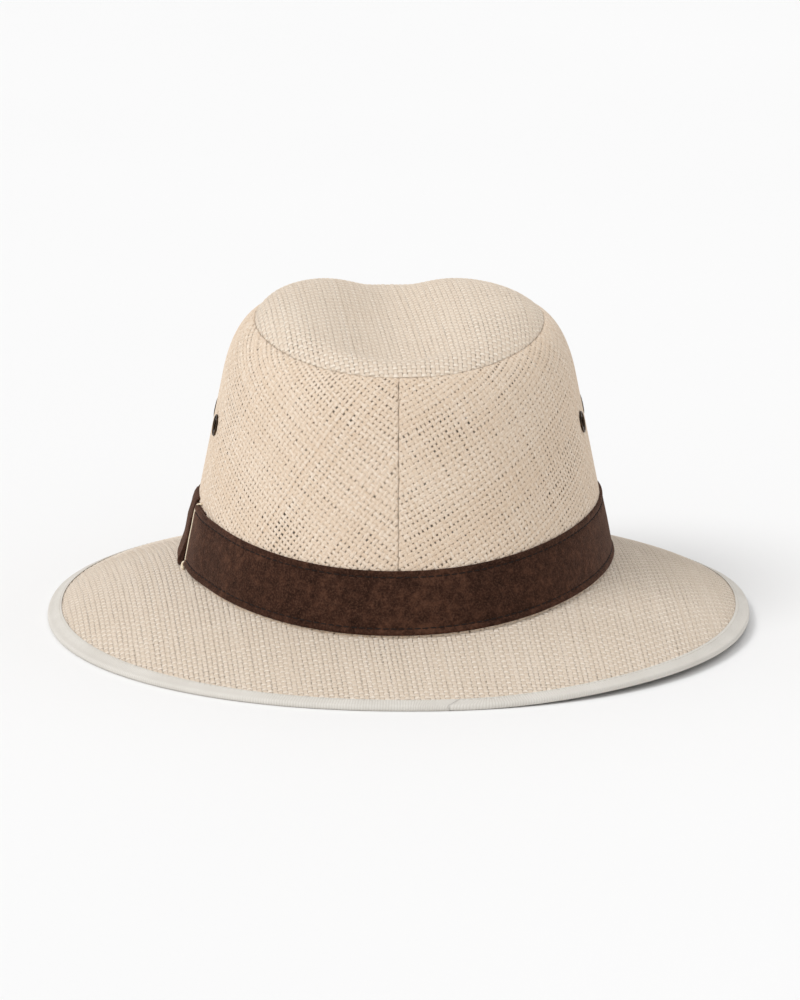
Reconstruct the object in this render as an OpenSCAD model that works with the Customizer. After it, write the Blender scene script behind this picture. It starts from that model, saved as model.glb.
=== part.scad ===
// Panama hat: a woven straw hat cut and sewn from panels, with a suede band.
// +Z is up, +Y is the front of the hat and +X is the wearer's right.
// The origin is the centre of the brim's outline, on the surface the brim rests on.

/* [Brim] */
// Width of the whole hat, side to side
brim_w = 290; // [280:1:300]
// Length of the whole hat, front to back
brim_l = 318; // [308:1:328]
// Squareness of the brim's outline: 2 is an ellipse
brim_square = 2.11; // [2:0.01:2.3]
// Height of the fold between brim and crown, averaged round the head
fold_z = 20.7; // [16:0.1:26]
// How much higher the fold is at the sides than the average
fold_rise = 4.9; // [0:0.2:6]
// How much higher the fold is on the wearer's right than the average
fold_tilt = 1.2; // [0:0.2:3]
// Share of the brim's fall that comes near its edge, averaged round the brim
brim_droop = 0.13; // [0.1:0.01:0.16]
// How much larger that share is at the sides than the average
brim_side_droop = 0.09; // [0:0.01:0.1]
// How far the brim's edge stands off the floor on the wearer's right
brim_lift = 2.5; // [0:0.1:3]
// Thickness of each of the brim's two plies
ply_t = 0.75; // [0.6:0.05:1]
// Width of the edge binding, on each face
binding_w = 5.8; // [5:0.2:8]
// Thickness of the binding tape
binding_t = 0.5; // [0.4:0.05:0.6]
// Diameter of the shaping wire in the bound edge
wire_d = 0.9; // [0.6:0.1:1]

/* [Crown] */
// Width of the crown at the fold, outside
crown_w = 175.2; // [168:0.2:180]
// Length of the crown at the fold, outside
crown_l = 204.8; // [198:0.2:210]
// Width of the tip at its seam
tip_w = 118.5; // [112:0.5:122]
// Length of the tip at its seam
tip_l = 155; // [150:0.2:158]
// Height of the tip seam, averaged round the crown
tip_z = 122.2; // [118:0.2:128]
// How much higher the tip seam is at the sides than the average
tip_side_rise = 2.5; // [0:0.1:4]
// How much higher the tip seam is at the front than the average
tip_front_rise = 3.2; // [0:0.1:5]
// How far the tip leans to the wearer's left
tip_lean = 0.4; // [0:0.2:3]
// Width the straight walls would have where they meet the shoulder's end slope
shoulder_w = 137; // [130:0.5:140]
// The same, front to back
shoulder_l = 166; // [160:0.5:170]
// Height of the shoulder's end slope, below the tip seam
shoulder_h = 4.3; // [3:0.1:6]
// Height of the tip's dome above its seam
dome_h = 10; // [5:0.5:12]
// Depth of the crease along the middle of the tip
crease_h = 10; // [4:0.5:14]
// Half the width of the crease at the front of the tip
crease_half_w = 16; // [12:1:20]
// How much wider the crease gets towards the back, as a share of that
crease_spread = 0.9; // [0:0.1:1.2]
// Width of the rim behind the crease, as a share of the tip's radius
rim_part = 0.3; // [0.2:0.02:0.4]
// How far the crease's front end lies to the wearer's left
crease_skew = 5; // [0:1:8]
// Thickness of the woven straw
straw_t = 0.9; // [0.7:0.05:1.1]

/* [Inside] */
// Height of the sweatband
sweat_h = 32; // [26:1:38]
// Thickness of the sweatband
sweat_t = 0.9; // [0.6:0.1:1.2]
// Thickness of the seam tapes
tape_t = 0.5; // [0.3:0.1:0.7]
// Width of the back seam's tape
tape_w = 10; // [8:1:14]

/* [Hat band] */
// Height of the band
band_h = 25.4; // [22:0.2:30]
// Thickness of the band
band_t = 1.2; // [0.8:0.1:1.6]
// How far the keeper stands out from the crown
keeper_out = 3.6; // [3.2:0.1:6]
// Thickness of the keeper's suede
keeper_t = 1.2; // [0.8:0.1:1.4]
// Diameter of the piping on the band's end
piping_d = 0.9; // [0.6:0.1:1.2]

/* [Vent eyelets] */
// Diameter of an eyelet's flange
eyelet_d = 9; // [8:0.2:11]
// Diameter of the air hole
air_hole_d = 4.6; // [3.6:0.2:5.4]
// Height of the eyelets above the fold
eyelet_h = 59; // [50:1:70]
// Angle of each eyelet from the middle of its side
eyelet_turn = 10; // [8:1:20]

/* [Hidden] */

steps = 96;             // facets round the hat, shared by every layer
step = 360 / steps;
gap = 0.05;             // clearance between layers that lie on each other
crown_square = 2.09;    // outline of the crown at the fold
tip_square = 2.13;      // outline of the crown at the tip seam
shoulder_start = 0.8;   // share of the wall below the shoulder
dome_sharp = 6;         // how tightly the dome turns down to its seam
dome_left_sharp = 3.5;  // how much more tightly it does on the wearer's left
droop_power = 5;        // how near the edge the brim's droop lies
lift_at = 340;          // angle of the highest part of the brim's edge
turn_under = -3;        // lower edge of the crown, below the fold
left_side = 180;
back = 270;
full_turn = 360;

brim_total = 2 * ply_t;
brim_floor = binding_t + gap;              // underside of the brim where it lies flat
brim_top_z = brim_floor + brim_total;      // its upper face there
edge_in = binding_t + wire_d + 0.5;        // cut edge of the plies, inside the outline
brim_reach = (brim_w - crown_w) / 2 - edge_in;
bound_part = 1 - (binding_w - edge_in) / brim_reach;    // where the binding's inner edge lies
edge_round = 0.8;       // how far in the binding's rounded edge reaches
edge_soft = 0.2;        // step of its chamfer
lining_round = 1.1;     // how far in the round of the binding's inner face reaches
lining_drop = 0.3;      // how far that round stands back from the upper and lower inner faces

straw = "burlywood";
brim_colour = "wheat";
tape_colour = "ivory";
suede = "saddlebrown";
metal = "darkgoldenrod";

// --- helpers ---------------------------------------------------------------

function mix(p, q, s) = p * (1 - s) + q * s;
function unit(p) = p / norm(p);
function root(c, n) = sign(c) * pow(abs(c), 2 / n);
function oval(w, l, n, t, z) = [w / 2 * root(cos(t), n), l / 2 * root(sin(t), n), z];
function smooth(x) = let (s = min(1, max(0, x))) s * s * (3 - 2 * s);
function reversed(list) = [for (i = [len(list) - 1:-1:0]) list[i]];
function turns(from, to) = [for (i = [from:to]) i * step];

// Outward normal of a surface f(t, u), where t goes round the hat and u goes up or out
function normal(f, t, u, up) =
    let (dt = 0.4, du = 0.004)
    up * unit(cross(f(t + dt, u) - f(t - dt, u), f(t, u + du) - f(t, u - du)));

// Point at height d above a surface
function above(f, t, u, d, up = 1) = f(t, u) + d * normal(f, t, u, up);

// Closed section of a layer that lies between two heights above a surface
function layer(f, t, us, low, high, up = 1) =
    concat([for (u = us) above(f, t, u, high, up)],
           reversed([for (u = us) above(f, t, u, low, up)]));

// Solid through a list of sections that have the same number of points
module skin(sections, ring) {
    n = len(sections);
    m = len(sections[0]);
    last = ring ? n - 1 : n - 2;
    sides = [for (i = [0:last], j = [0:m - 1])
             let (a = i * m, b = ((i + 1) % n) * m, k = (j + 1) % m)
             each [[a + j, a + k, b + k], [a + j, b + k, b + j]]];
    ends = ring ? [] : [for (j = [0:m / 2 - 2], side = [0, 1])
                        let (q = [j, m - 1 - j, m - 2 - j, j + 1],
                             c = side == 0 ? q : reversed(q) + (n - 1) * m * [1, 1, 1, 1])
                        each [[c[0], c[1], c[2]], [c[0], c[2], c[3]]]];
    polyhedron([for (s = sections) each s], concat(sides, ends));
}

// Places its children on the crown's outer face, with +Z along the face's normal
module on_crown(t, height) {
    p = wall(t, height / wall_rise(t));
    n = normal(wall, t, height / wall_rise(t), 1);
    translate(p) rotate([0, acos(n.z), atan2(n.y, n.x)]) children();
}

// --- surfaces --------------------------------------------------------------

function fold_height(t) = fold_z + fold_rise * cos(2 * t) + fold_tilt * cos(t);
function seam_height(t) = tip_z + tip_side_rise * cos(2 * t) + tip_front_rise * sin(t);
function fold_line(t) = oval(crown_w, crown_l, crown_square, t, fold_height(t));
function seam_line(t) = oval(tip_w, tip_l, tip_square, t, seam_height(t)) - [tip_lean, 0, 0];
function shoulder_line(t) =
    oval(shoulder_w, shoulder_l, tip_square, t, seam_height(t) - shoulder_h) - [tip_lean, 0, 0];
function wall_rise(t) = seam_height(t) - shoulder_h - fold_height(t);

// Outer face of the crown's side: u is 0 at the fold and 1 at the tip seam
wall = function (t, u)
    u < shoulder_start ? mix(fold_line(t), shoulder_line(t), u)
    : let (s = (u - shoulder_start) / (1 - shoulder_start),
           start = mix(fold_line(t), shoulder_line(t), shoulder_start),
           turn = shoulder_line(t))
      mix(mix(start, turn, s), mix(turn, seam_line(t), s), s);

// Outer face of the tip: r is 1 at its seam and 0 in the middle
tip = function (t, r)
    let (p = oval(tip_w, tip_l, tip_square, t, 0) * r,
         ahead = p.y / tip_l + 0.5,
         seam = tip_z + tip_side_rise * cos(2 * t) * r * r + tip_front_rise * sin(t) * r,
         half_w = crease_half_w * (1 + crease_spread * (1 - ahead)),
         crease = crease_h * exp(-pow((p.x + crease_skew * ahead) / half_w, 2)),
         rim = (1 - smooth((1 - r) / rim_part)) * smooth(1 - ahead),
         sharp = dome_sharp + dome_left_sharp * pow(min(0, cos(t)), 2),
         rise = dome_h * (1 - pow(r, sharp)) - crease * (1 - rim) * (1 - pow(r, 6)))
    [p.x - tip_lean, p.y, seam + rise];

// Height of the brim's edge off the floor
function edge_lift(t) = brim_lift * smooth(2 * cos(t - lift_at) - 1);

// Upper face of the brim: w is 0 at the fold and 1 at the plies' cut edge
brim = function (t, w)
    let (out = oval(brim_w - 2 * edge_in, brim_l - 2 * edge_in, brim_square, t, 0),
         in = fold_line(t),
         p = mix(in, out, w),
         late = brim_droop + brim_side_droop * cos(2 * t),
         fall = (1 - late) * w + late * pow(w, droop_power))
    [p.x, p.y, mix(in.z, brim_top_z + edge_lift(t), fall)];

// Normal that the side and the tip share at their seam
function seam_normal(t) = unit(normal(wall, t, 0.998, 1) + normal(tip, t, 0.998, -1));
function at_seam(t, d) = seam_line(t) + d * seam_normal(t);

// --- crown -----------------------------------------------------------------

module crown_tip() {
    rs = [0.96, 0.9, 0.82, 0.72, 0.6, 0.46, 0.31, 0.15];
    ts = turns(0, steps - 1);
    low = concat([for (r = reversed(rs)) [for (t = ts) above(tip, t, r, -straw_t, -1)]],
                 [[for (t = ts) at_seam(t, -straw_t)]]);
    high = concat([[for (t = ts) at_seam(t, 0)]],
                  [for (r = rs) [for (t = ts) above(tip, t, r, 0, -1)]]);
    rings = concat(low, high);
    count = len(rings) * steps;
    middle = tip(0, 0);
    sides = [for (i = [0:len(rings) - 2], j = [0:steps - 1])
             let (a = i * steps, b = a + steps, k = (j + 1) % steps)
             each [[a + j, b + j, b + k], [a + j, b + k, a + k]]];
    bottom = [for (j = [0:steps - 1]) [count, j, (j + 1) % steps]];
    top = [for (j = [0:steps - 1]) [count + 1, count - steps + (j + 1) % steps, count - steps + j]];
    color(straw)
    polyhedron(concat([for (r = rings) each r], [middle - [0, 0, straw_t], middle]),
               concat(sides, bottom, top));
}

module crown_side() {
    color(straw)
    difference() {
        skin([for (t = turns(0, steps - 1))
              let (low = turn_under / wall_rise(t),
                   us = [low, 0.3, 0.6, 0.86, 0.91, 0.96])
              concat([for (u = us) above(wall, t, u, 0)], [at_seam(t, 0)],
                     [at_seam(t, -straw_t)], reversed([for (u = us) above(wall, t, u, -straw_t)]))],
             ring = true);
        for (t = eyelet_angles)
            on_crown(t, eyelet_h) cylinder(h = 8, r = barrel_r + gap, center = true, $fn = 48);
    }
}

module tip_seam_tape() {
    d = -straw_t - gap;
    color(tape_colour)
    skin([for (t = turns(0, steps - 1))
          [above(wall, t, 0.92, d), at_seam(t, d), above(tip, t, 0.93, d, -1),
           above(tip, t, 0.93, d - tape_t, -1), at_seam(t, d - tape_t), above(wall, t, 0.92, d - tape_t)]],
         ring = true);
}

module back_seam_tape() {
    half = tape_w / 2 / (crown_w / 2) * 180 / PI;
    color(tape_colour)
    skin([for (t = [back - half, back, back + half])
          let (low = (sweat_h + gap) / wall_rise(t))
          layer(wall, t, [low, 0.6, 0.86, 0.9], -straw_t - gap - tape_t, -straw_t - gap)],
         ring = false);
}

// --- brim ------------------------------------------------------------------

brim_rows = [0, 0.16, 0.34, 0.52, 0.68, 0.82, bound_part, (1 + bound_part) / 2, 1];

// One ply of the brim, between two depths under its upper face
module ply(deep, shallow) {
    skin([for (t = turns(0, steps - 1))
          concat([for (w = brim_rows) brim(t, w) - [0, 0, deep]],
                 reversed([for (w = brim_rows) brim(t, w) - [0, 0, shallow]]))],
         ring = true);
}

module brim_upper() {
    color(brim_colour) ply(ply_t - gap / 2, 0);
}

module brim_lower() {
    color(brim_colour) ply(brim_total, ply_t + gap / 2);
}

// Point of the bound edge: in from the hat's outline, at a height over the edge's lowest face
function edge_point(t, in, z) =
    let (p = oval(brim_w, brim_l, brim_square, t, 0),
         q = oval(brim_w - 8, brim_l - 8, brim_square, t, 0),
         b = brim(t, 1 - (in - edge_in) / brim_reach))
    in > edge_in ? [b.x, b.y, z + b.z - brim_top_z] : p + unit(q - p) * in + [0, 0, z + edge_lift(t)];

module brim_binding() {
    top = brim_top_z + gap + binding_t;
    middle = (binding_w + edge_in) / 2;
    outer = [[binding_w, 0], [middle, 0], [edge_in, 0], [edge_round, 0],
             [edge_soft, binding_t], [0, top / 2], [edge_soft, top - binding_t],
             [edge_round, top], [edge_in, top], [middle, top], [binding_w, top]];
    inner = [for (z = [top - binding_t, binding_t], i = [0:4])
             let (lip = binding_t + 2 * gap,
                  fall = z > top / 2 ? -lining_drop : lining_drop,
                  side = [[binding_w, z], [middle, z], [edge_in, z], [lining_round, z],
                          [lip, z + fall]])
             z > top / 2 ? side[i] : side[4 - i]];
    color(tape_colour)
    skin([for (t = turns(0, steps - 1)) [for (q = concat(outer, inner)) edge_point(t, q[0], q[1])]],
         ring = true);
}

wire_in = edge_in - 0.1 - wire_d / 2 - 0.2;
wire_z = brim_floor + ply_t;
joiner_at = 74;          // facet round the hat where the wire's ends meet
joiner_half = 2;         // facets on each side of that

// Circle round the wire's path
function wire_circle(t, r, sides) =
    [for (i = [0:sides - 1]) let (a = i * full_turn / sides)
     edge_point(t, wire_in - r * cos(a), wire_z + r * sin(a))];

module brim_wire() {
    color("silver")
    skin([for (t = turns(joiner_at, joiner_at + steps - 1)) wire_circle(t, wire_d / 2 - gap, 6)],
         ring = true);
}

module wire_joiner() {
    ts = turns(joiner_at - joiner_half, joiner_at + joiner_half);
    outer = [for (t = ts) wire_circle(t, wire_d / 2 + 0.2, 8)];
    inner = [for (t = ts) wire_circle(t, wire_d / 2, 8)];
    color("gray")
    skin([for (i = [0:7]) concat([for (c = inner) c[i]], reversed([for (c = outer) c[i]]))], ring = true);
}

// --- inside ----------------------------------------------------------------

module sweatband() {
    color(tape_colour)
    skin([for (t = turns(0, steps - 1))
          let (rise = wall_rise(t))
          layer(wall, t, [turn_under / rise, sweat_h / rise], -straw_t - gap - sweat_t, -straw_t - gap)],
         ring = true);
}

module sweatband_tab() {
    d = -straw_t - 2 * gap - sweat_t;
    color(tape_colour)
    skin([for (t = turns(back / step - 1, back / step + 1))
          let (rise = wall_rise(t))
          layer(wall, t, [1 / rise, (sweat_h - 3) / rise], d - tape_t, d)],
         ring = false);
}

// --- hat band --------------------------------------------------------------

band_low = 0.6;          // lower edge of the band, above the fold
band_top = band_low + band_h;
band_start = 51;         // facet where the band's outer end lies, on the wearer's left
band_lap = 2;            // facets of the inner end that lie under it
band_settle = 5;         // facets in which the outer end comes down to the crown

// Height of the band's inner face above the crown, i facets from its outer end
function band_lift(i) =
    let (s = min(1, max(0, (i - band_lap) / (band_settle - band_lap))))
    gap + (band_t + gap) * (1 - s * s * (3 - 2 * s));

module hat_band() {
    color(suede)
    skin([for (i = [0:steps + band_lap])
          let (t = (band_start + i) * step, rise = wall_rise(t), d = band_lift(i))
          layer(wall, t, [band_low / rise, (band_low + band_h / 2) / rise, band_top / rise],
                d, d + band_t)],
         ring = false);
}

module band_keeper() {
    clear = band_t + 2 * gap + 0.2;
    first = left_side / step - 1;
    color(suede)
    skin([for (t = reversed(turns(first, first + 3)))
          let (rise = wall_rise(t), top = band_top + 1.6, inner_out = keeper_out - keeper_t)
          concat([for (q = [[top, gap], [top, inner_out], [top - 2, keeper_out - 0.4],
                            [band_h / 2, keeper_out], [3, keeper_out + 0.4], [1.2, keeper_out]])
                  above(wall, t, q[0] / rise, q[1])],
                 reversed([for (q = [[band_top + 0.3, gap], [band_top + 0.3, clear],
                                     [band_top - 2, inner_out - 0.4], [band_h / 2, inner_out],
                                     [3, inner_out + 0.4], [1.8, clear + 0.4]])
                           above(wall, t, q[0] / rise, q[1])]))],
         ring = false);
}

module band_piping() {
    t = band_start * step - 0.55;
    sides = 8;
    color("cornsilk")
    skin([for (h = [1, 4, 8, 12, 16, 20, band_top - 1, band_top + 0.2])
          let (u = h / wall_rise(t), n = normal(wall, t, u, 1),
               across = unit(wall(t + 0.4, u) - wall(t - 0.4, u)),
               p = above(wall, t, u, band_t + 2 * gap + piping_d / 2))
          [for (i = [0:sides - 1]) let (a = i * full_turn / sides)
           p + piping_d / 2 * (n * cos(a) - across * sin(a))]],
         ring = false);
}

// --- vent eyelets ----------------------------------------------------------

barrel_r = air_hole_d / 2 + 0.4;
washer_t = 0.4;
washer_z = -straw_t - washer_t - 0.2;
eyelet_angles = [left_side + eyelet_turn, left_side - eyelet_turn, -eyelet_turn, eyelet_turn];

// Flange with a rounded rim, a barrel through the straw and a rolled end behind the washer
module eyelet(t) {
    r = air_hole_d / 2;
    flange_r = eyelet_d / 2;
    color(metal)
    on_crown(t, eyelet_h)
    rotate_extrude($fn = 64)
    union() {
        translate([r, washer_z - 0.35]) square([barrel_r - r, 0.75 - washer_z]);
        translate([r, washer_z - 0.4]) square([1.5, 0.35]);
        translate([r, 0.1]) square([flange_r - r - 0.45, 0.5]);
        translate([flange_r - 0.45, 0.55]) circle(r = 0.45, $fn = 32);
        translate([r + 0.3, 0.45]) circle(r = 0.3, $fn = 32);
    }
}

module washer(t) {
    color(metal)
    on_crown(t, eyelet_h)
    translate([0, 0, washer_z])
    difference() {
        cylinder(h = washer_t, r = eyelet_d / 2, $fn = 64);
        translate([0, 0, -1]) cylinder(h = washer_t + 2, r = barrel_r + gap, $fn = 64);
    }
}

module eyelet_left_rear() { eyelet(eyelet_angles[0]); }
module eyelet_left_front() { eyelet(eyelet_angles[1]); }
module eyelet_right_rear() { eyelet(eyelet_angles[2]); }
module eyelet_right_front() { eyelet(eyelet_angles[3]); }
module washer_left_rear() { washer(eyelet_angles[0]); }
module washer_left_front() { washer(eyelet_angles[1]); }
module washer_right_rear() { washer(eyelet_angles[2]); }
module washer_right_front() { washer(eyelet_angles[3]); }

crown_tip();
crown_side();
tip_seam_tape();
back_seam_tape();
brim_upper();
brim_lower();
brim_binding();
brim_wire();
wire_joiner();
sweatband();
sweatband_tab();
hat_band();
band_keeper();
band_piping();
eyelet_left_rear();
eyelet_left_front();
eyelet_right_rear();
eyelet_right_front();
washer_left_rear();
washer_left_front();
washer_right_rear();
washer_right_front();
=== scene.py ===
import math

import bpy
import numpy as np
from mathutils import Matrix, Vector


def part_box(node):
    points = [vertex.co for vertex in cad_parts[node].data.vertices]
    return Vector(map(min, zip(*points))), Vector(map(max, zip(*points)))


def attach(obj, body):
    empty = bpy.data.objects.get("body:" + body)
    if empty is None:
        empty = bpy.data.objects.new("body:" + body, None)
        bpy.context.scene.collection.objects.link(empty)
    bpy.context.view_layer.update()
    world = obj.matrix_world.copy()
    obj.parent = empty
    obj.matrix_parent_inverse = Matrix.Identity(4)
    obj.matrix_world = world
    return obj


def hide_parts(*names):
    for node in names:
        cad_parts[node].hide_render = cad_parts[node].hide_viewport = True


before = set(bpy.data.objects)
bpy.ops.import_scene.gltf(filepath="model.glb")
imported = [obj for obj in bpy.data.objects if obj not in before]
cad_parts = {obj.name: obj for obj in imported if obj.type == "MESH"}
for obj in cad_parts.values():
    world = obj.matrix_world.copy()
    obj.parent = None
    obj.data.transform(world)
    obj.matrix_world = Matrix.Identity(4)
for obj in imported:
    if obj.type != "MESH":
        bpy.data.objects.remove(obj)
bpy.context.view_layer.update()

# Sizes are in millimetres until a mesh is made. Angles round the hat are in degrees:
# 0 is the wearer's right (+X), 90 the front (+Y), 180 the wearer's left and 270 the back.
MM = 0.001
FRONT, LEFT, BACK, RIGHT = 90, 180, 270, 360


def width_of(node, axis):
    low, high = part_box(node)
    return (high[axis] - low[axis]) / MM


# ---------------------------------------------------------------- sizes
# The same sizes as the CAD's. Those it can give are read from its boxes.

BRIM_W, BRIM_L = width_of("brim_binding", 0), width_of("brim_binding", 1)
TIP_W, TIP_L = width_of("crown_tip", 0), width_of("crown_tip", 1)
CROWN_W, CROWN_L = 175.2, 204.8          # crown's outline at the fold with the brim
SHOULDER_W, SHOULDER_L = 137, 166        # straight walls carried on to the shoulder's end slope
BRIM_N, CROWN_N, TIP_N = 2.11, 2.09, 2.13    # squareness of the outlines; 2 is an ellipse
FOLD_Z, FOLD_RISE, FOLD_TILT = 20.7, 4.9, 1.2
SEAM_Z, SEAM_SIDE_RISE, SEAM_FRONT_RISE = 122.2, 2.5, 3.2
SHOULDER_H, SHOULDER_START = 4.3, 0.8    # the side's curve under the tip seam: height, first u
TIP_LEAN = 0.4                           # how far the tip sits towards the wearer's left
DOME_H, DOME_SHARP, DOME_LEFT_SHARP = 10, 6, 3.5
CREASE_H, CREASE_HALF_W, CREASE_SPREAD, CREASE_SKEW, RIM_PART = 10, 16, 0.9, 5, 0.3
BRIM_DROOP, BRIM_SIDE_DROOP, BRIM_LIFT, LIFT_AT = 0.13, 0.09, 2.5, 340
PLY_T, BINDING_T, BINDING_W, WIRE_D, GAP = 0.75, 0.5, 5.8, 0.9, 0.05
STRAW_T, TAPE_T, SWEAT_T, SWEAT_H = 0.9, 0.5, 0.9, 32
BRIM_TOP_Z = BINDING_T + GAP + 2 * PLY_T
EDGE_IN = BINDING_T + WIRE_D + 0.5
BRIM_REACH = (BRIM_W - CROWN_W) / 2 - EDGE_IN
BAND_LOW, BAND_H, BAND_T = 0.6, 25.4, 1.2
EYELET_H, EYELET_TURN, EYELET_HOLE_R = 59, 10, 2.75
EYELETS = {"left_rear": LEFT + EYELET_TURN, "left_front": LEFT - EYELET_TURN,
           "right_rear": RIGHT - EYELET_TURN, "right_front": RIGHT + EYELET_TURN}

# ---------------------------------------------------------------- surfaces


def cosd(t):
    return np.cos(np.radians(t))


def sind(t):
    return np.sin(np.radians(t))


def root(c, n):
    return np.sign(c) * np.abs(c) ** (2 / n)


def oval(width, length, n, t, z):
    """Points of an oval outline, as an array whose last axis is x, y, z."""
    t, z = np.broadcast_arrays(np.asarray(t, float), np.asarray(z, float))
    return np.stack([width / 2 * root(cosd(t), n), length / 2 * root(sind(t), n), z], -1)


def mix(p, q, s):
    s = np.asarray(s, float)
    if np.ndim(p) > np.ndim(s):
        s = s[..., None]
    return p * (1 - s) + q * s


def smooth(x):
    s = np.clip(x, 0, 1)
    return s * s * (3 - 2 * s)


def fold_height(t):
    return FOLD_Z + FOLD_RISE * cosd(2 * t) + FOLD_TILT * cosd(t)


def seam_height(t):
    return SEAM_Z + SEAM_SIDE_RISE * cosd(2 * t) + SEAM_FRONT_RISE * sind(t)


def fold_line(t):
    return oval(CROWN_W, CROWN_L, CROWN_N, t, fold_height(t))


def seam_line(t):
    return oval(TIP_W, TIP_L, TIP_N, t, seam_height(t)) - [TIP_LEAN, 0, 0]


def shoulder_line(t):
    z = seam_height(t) - SHOULDER_H
    return oval(SHOULDER_W, SHOULDER_L, TIP_N, t, z) - [TIP_LEAN, 0, 0]


def wall_rise(t):
    return seam_height(t) - SHOULDER_H - fold_height(t)


def wall(t, u):
    """Outer face of the crown's side: u is 0 at the fold and 1 at the tip seam."""
    t, u = np.broadcast_arrays(np.asarray(t, float), np.asarray(u, float))
    fold, turn, seam = fold_line(t), shoulder_line(t), seam_line(t)
    s = np.clip((u - SHOULDER_START) / (1 - SHOULDER_START), 0, None)
    start = mix(fold, turn, np.full(t.shape, SHOULDER_START))
    curved = mix(mix(start, turn, s), mix(turn, seam, s), s)
    return np.where((u < SHOULDER_START)[..., None], mix(fold, turn, u), curved)


def tip(t, r):
    """Outer face of the tip: r is 1 at its seam and 0 in the middle."""
    t, r = np.broadcast_arrays(np.asarray(t, float), np.asarray(r, float))
    p = oval(TIP_W, TIP_L, TIP_N, t, 0) * r[..., None]
    ahead = p[..., 1] / TIP_L + 0.5
    seam = SEAM_Z + SEAM_SIDE_RISE * cosd(2 * t) * r**2 + SEAM_FRONT_RISE * sind(t) * r
    half_w = CREASE_HALF_W * (1 + CREASE_SPREAD * (1 - ahead))
    crease = CREASE_H * np.exp(-(((p[..., 0] + CREASE_SKEW * ahead) / half_w) ** 2))
    rim = (1 - smooth((1 - r) / RIM_PART)) * smooth(1 - ahead)
    sharp = DOME_SHARP + DOME_LEFT_SHARP * np.minimum(0, cosd(t)) ** 2
    z = seam + DOME_H * (1 - r**sharp) - crease * (1 - rim) * (1 - r**6)
    return np.stack([p[..., 0] - TIP_LEAN, p[..., 1], z], -1)


def edge_lift(t):
    """Height of the brim's edge off the floor."""
    return BRIM_LIFT * smooth(2 * cosd(t - LIFT_AT) - 1)


def brim(t, w):
    """Upper face of the brim: w is 0 at the fold and 1 at the plies' cut edge."""
    t, w = np.broadcast_arrays(np.asarray(t, float), np.asarray(w, float))
    outer = oval(BRIM_W - 2 * EDGE_IN, BRIM_L - 2 * EDGE_IN, BRIM_N, t, 0)
    inner = fold_line(t)
    p = mix(inner, outer, w)
    late = BRIM_DROOP + BRIM_SIDE_DROOP * cosd(2 * t)
    fall = (1 - late) * w + late * w**5
    p[..., 2] = inner[..., 2] * (1 - fall) + (BRIM_TOP_Z + edge_lift(t)) * fall
    return p


def edge_point(t, inward, z):
    """Point of the bound edge, in from the hat's outline."""
    t, inward, z = np.broadcast_arrays(*(np.asarray(v, float) for v in (t, inward, z)))
    p = oval(BRIM_W, BRIM_L, BRIM_N, t, 0)
    smaller = 8                 # an oval smaller by this gives the way inwards
    step = unit(oval(BRIM_W - smaller, BRIM_L - smaller, BRIM_N, t, 0) - p)
    outer = p + step * inward[..., None]
    outer[..., 2] = z + edge_lift(t)
    inner = brim(t, 1 - (inward - EDGE_IN) / BRIM_REACH)
    inner[..., 2] += z - BRIM_TOP_Z
    return np.where((inward > EDGE_IN)[..., None], inner, outer)


def unit(v):
    return v / np.linalg.norm(v, axis=-1, keepdims=True)


def normal(surface, t, u):
    """Normal of a surface, outwards on the crown's side and upwards on the tip and the brim."""
    dt, du = 0.4, 0.004         # steps to either side that its slopes are taken from
    along = surface(t + dt, u) - surface(t - dt, u)
    up = surface(t, u + du) - surface(t, u - du)
    n = unit(np.cross(along, up))
    return n if surface is wall else -n


def above(surface, t, u, height):
    t, u, height = np.broadcast_arrays(*(np.asarray(v, float) for v in (t, u, height)))
    return surface(t, u) + height[..., None] * normal(surface, t, u)


# ---------------------------------------------------------------- meshes


def smooth_mesh(name, points, faces, material, uv=None, tone_and_warp_shade=None):
    """A mesh object in metres. uv and tint hold one value per vertex."""
    mesh = bpy.data.meshes.new(name)
    points = np.asarray(points, float).reshape(-1, 3) * MM
    mesh.vertices.add(len(points))
    mesh.vertices.foreach_set("co", points.astype(np.float32).ravel())
    groups = [np.asarray(f) for f in faces if len(f)]
    loops = np.concatenate([g.ravel() for g in groups])
    sizes = np.concatenate([np.full(len(g), g.shape[1]) for g in groups])
    mesh.loops.add(len(loops))
    mesh.loops.foreach_set("vertex_index", loops.astype(np.int32))
    mesh.polygons.add(len(sizes))
    starts = np.concatenate([[0], np.cumsum(sizes)[:-1]])
    mesh.polygons.foreach_set("loop_start", starts.astype(np.int32))
    mesh.polygons.foreach_set("use_smooth", np.ones(len(sizes), bool))
    if uv is not None:
        layer = mesh.uv_layers.new(name="cloth")
        layer.data.foreach_set("uv", np.asarray(uv, np.float32).reshape(-1, 2)[loops].ravel())
    if tone_and_warp_shade is not None:
        values = mesh.attributes.new("tone_and_warp_shade", "FLOAT", "POINT")
        values.data.foreach_set("value", np.asarray(tone_and_warp_shade, np.float32).ravel())
    mesh.update(calc_edges=True)
    mesh.validate()
    mesh.materials.append(material)
    thing = bpy.data.objects.new(name, mesh)
    bpy.context.scene.collection.objects.link(thing)
    return thing


def belongs(piece, slot, *nodes):
    """Attaches a piece to the root body and hides the CAD nodes it replaces. slot is not used."""
    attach(piece, "root")
    if nodes:
        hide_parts(*nodes)
    return piece


# ---------------------------------------------------------------- woven straw

# Corners of a yarn's cross-section, in half widths and half thicknesses
RING_ACROSS = np.array([1, 0.62, -0.62, -1, 0])
RING_HEIGHT = {"round": np.array([0.15, 1, 1, 0.15, -1]), "flat": np.array([0.7, 1, 1, 0.7, -1])}
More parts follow.
